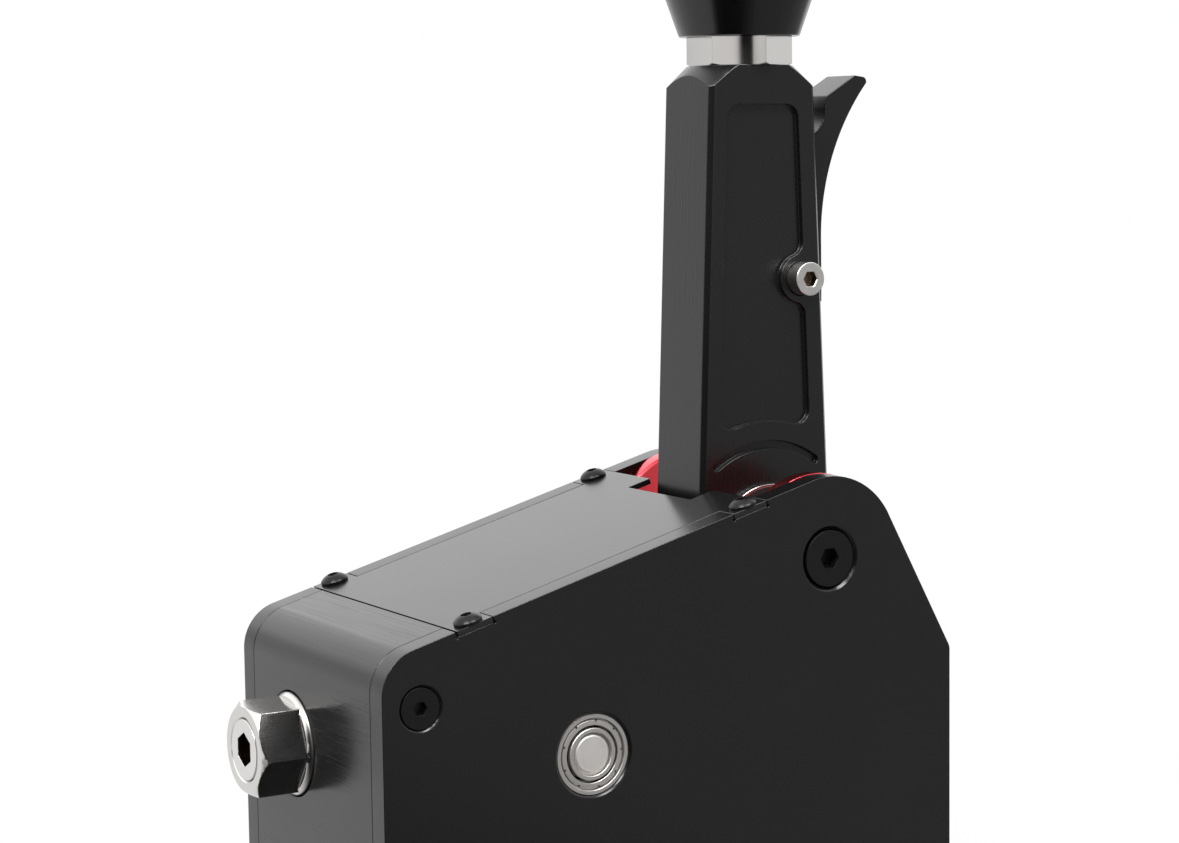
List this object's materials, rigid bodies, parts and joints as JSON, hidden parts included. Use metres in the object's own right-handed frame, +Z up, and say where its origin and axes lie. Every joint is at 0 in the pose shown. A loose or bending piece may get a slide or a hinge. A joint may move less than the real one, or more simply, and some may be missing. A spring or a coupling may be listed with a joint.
{
  "type": "sequential gear shifter",
  "caption": "Sequential gear shifter for a driving rig: sprung lever with knob and finger trigger in a plate housing, with spring adjuster.",
  "frame": {"origin": "middle of the mounting holes on the underside of the base", "axes": "+X from the adjuster towards the trigger side, +Y across to the far side plate, +Z up"},
  "size_m": [0.1416, 0.0636, 0.2409],
  "materials": {
    "black_coat": "satin powder coat",
    "grey_coat": "satin grey",
    "dark_anodised": "dark anodised, satin",
    "red_anodised": "red anodised",
    "aluminium": "milled",
    "stainless": "turned, bright",
    "steel": "ground",
    "black_steel": "black oxide",
    "brass": "turned",
    "rubber": "matt",
    "knob_plastic": "smooth, soft sheen",
    "black_plastic": "matt",
    "board_green": "solder mask"
  },
  "bodies": {
    "housing": {"base_plate": "black_coat", "side_plate_near": "black_coat", "side_plate_far": "black_coat", "front_wall": "grey_coat", "rear_wall": "grey_coat", "top_cover": "grey_coat", "cover_screws": "black_steel", "side_screws": "black_steel", "pivot_screws": "black_steel", "pivot_axle": "steel", "spacer_near": "red_anodised", "spacer_far": "red_anodised", "lever_bearing_near_inner": "steel", "lever_bearing_far_inner": "steel", "shaft_bearing_near_outer": "steel", "shaft_bearing_far_outer": "steel", "guide_pin": "steel", "spring_peg": "black_plastic", "return_spring": "steel", "stop_block_front": "aluminium", "stop_block_rear": "aluminium", "stop_pad_front": "rubber", "stop_pad_rear": "rubber", "block_screws": "black_steel", "sensor_board": "board_green", "board_screws": "steel", "data_socket": "steel"},
    "lever": {"lever": "dark_anodised", "lever_bearing_near_outer": "steel", "lever_bearing_far_outer": "steel", "crank_pin": "steel", "knob_stud": "steel", "knob_collar": "stainless", "knob_insert": "brass", "knob": "knob_plastic", "trigger_screw": "stainless", "trigger_switch": "black_plastic", "trigger_spring": "steel"},
    "roller": {"crank_roller": "steel"},
    "trigger": {"trigger": "dark_anodised"},
    "rocker": {"rocker": "aluminium", "rocker_shaft": "steel", "yoke_pin": "steel", "sensor_magnet": "steel", "shaft_bearing_near_inner": "steel", "shaft_bearing_far_inner": "steel"},
    "adjuster": {"adjuster_screw": "stainless", "adjuster_nut": "stainless", "adjuster_clip": "black_steel"},
    "seat": {"spring_seat": "brass"},
    "shuttle": {"push_rod": "steel", "yoke": "aluminium", "preload_spring": "steel"}
  },
  "joints": [
    {"name": "lever_tilt", "type": "hinge", "parent": "housing", "child": "lever", "pos_m": [0.0353, 0, 0.0891], "axis": [0, 1, 0], "range_deg": [-8, 8], "stiffness_Nm_per_rad": 30},
    {"name": "rocker_turn", "type": "hinge", "parent": "housing", "child": "rocker", "pos_m": [-0.0206, 0, 0.056], "axis": [0, 1, 0], "range_deg": [-9.9, 9.9], "deforming": ["return_spring"]},
    {"name": "shuttle_slide", "type": "slide", "parent": "housing", "child": "shuttle", "axis": [1, 0, 0], "range_m": [-0.00245, 0.00245], "deforming": ["preload_spring"]},
    {"name": "roller_spin", "type": "hinge", "parent": "lever", "child": "roller", "pos_m": [0.00432, 0, 0.07076], "axis": [0, 1, 0], "continuous": true},
    {"name": "trigger_pull", "type": "hinge", "parent": "lever", "child": "trigger", "pos_m": [0.0443, 0, 0.1444], "axis": [0, -1, 0], "range_deg": [0, 7], "stiffness_Nm_per_rad": 0.4, "springref_deg": -17.19, "deforming": ["trigger_spring"]},
    {"name": "adjuster_turn", "type": "hinge", "parent": "housing", "child": "adjuster", "pos_m": [-0.0657, 0.009, 0.0564], "axis": [1, 0, 0], "range_deg": [-360, 360]},
    {"name": "seat_slide", "type": "slide", "parent": "housing", "child": "seat", "axis": [1, 0, 0], "range_m": [-0.00178, 0.00178], "deforming": ["preload_spring"]}
  ],
  "couplings": [
    {"joint": "rocker_turn", "follows": "lever_tilt", "ratio": -1.224},
    {"joint": "shuttle_slide", "follows": "lever_tilt", "m_per_rad": -0.017136},
    {"joint": "seat_slide", "follows": "adjuster_turn", "m_per_rad": -0.00027852}
  ]
}
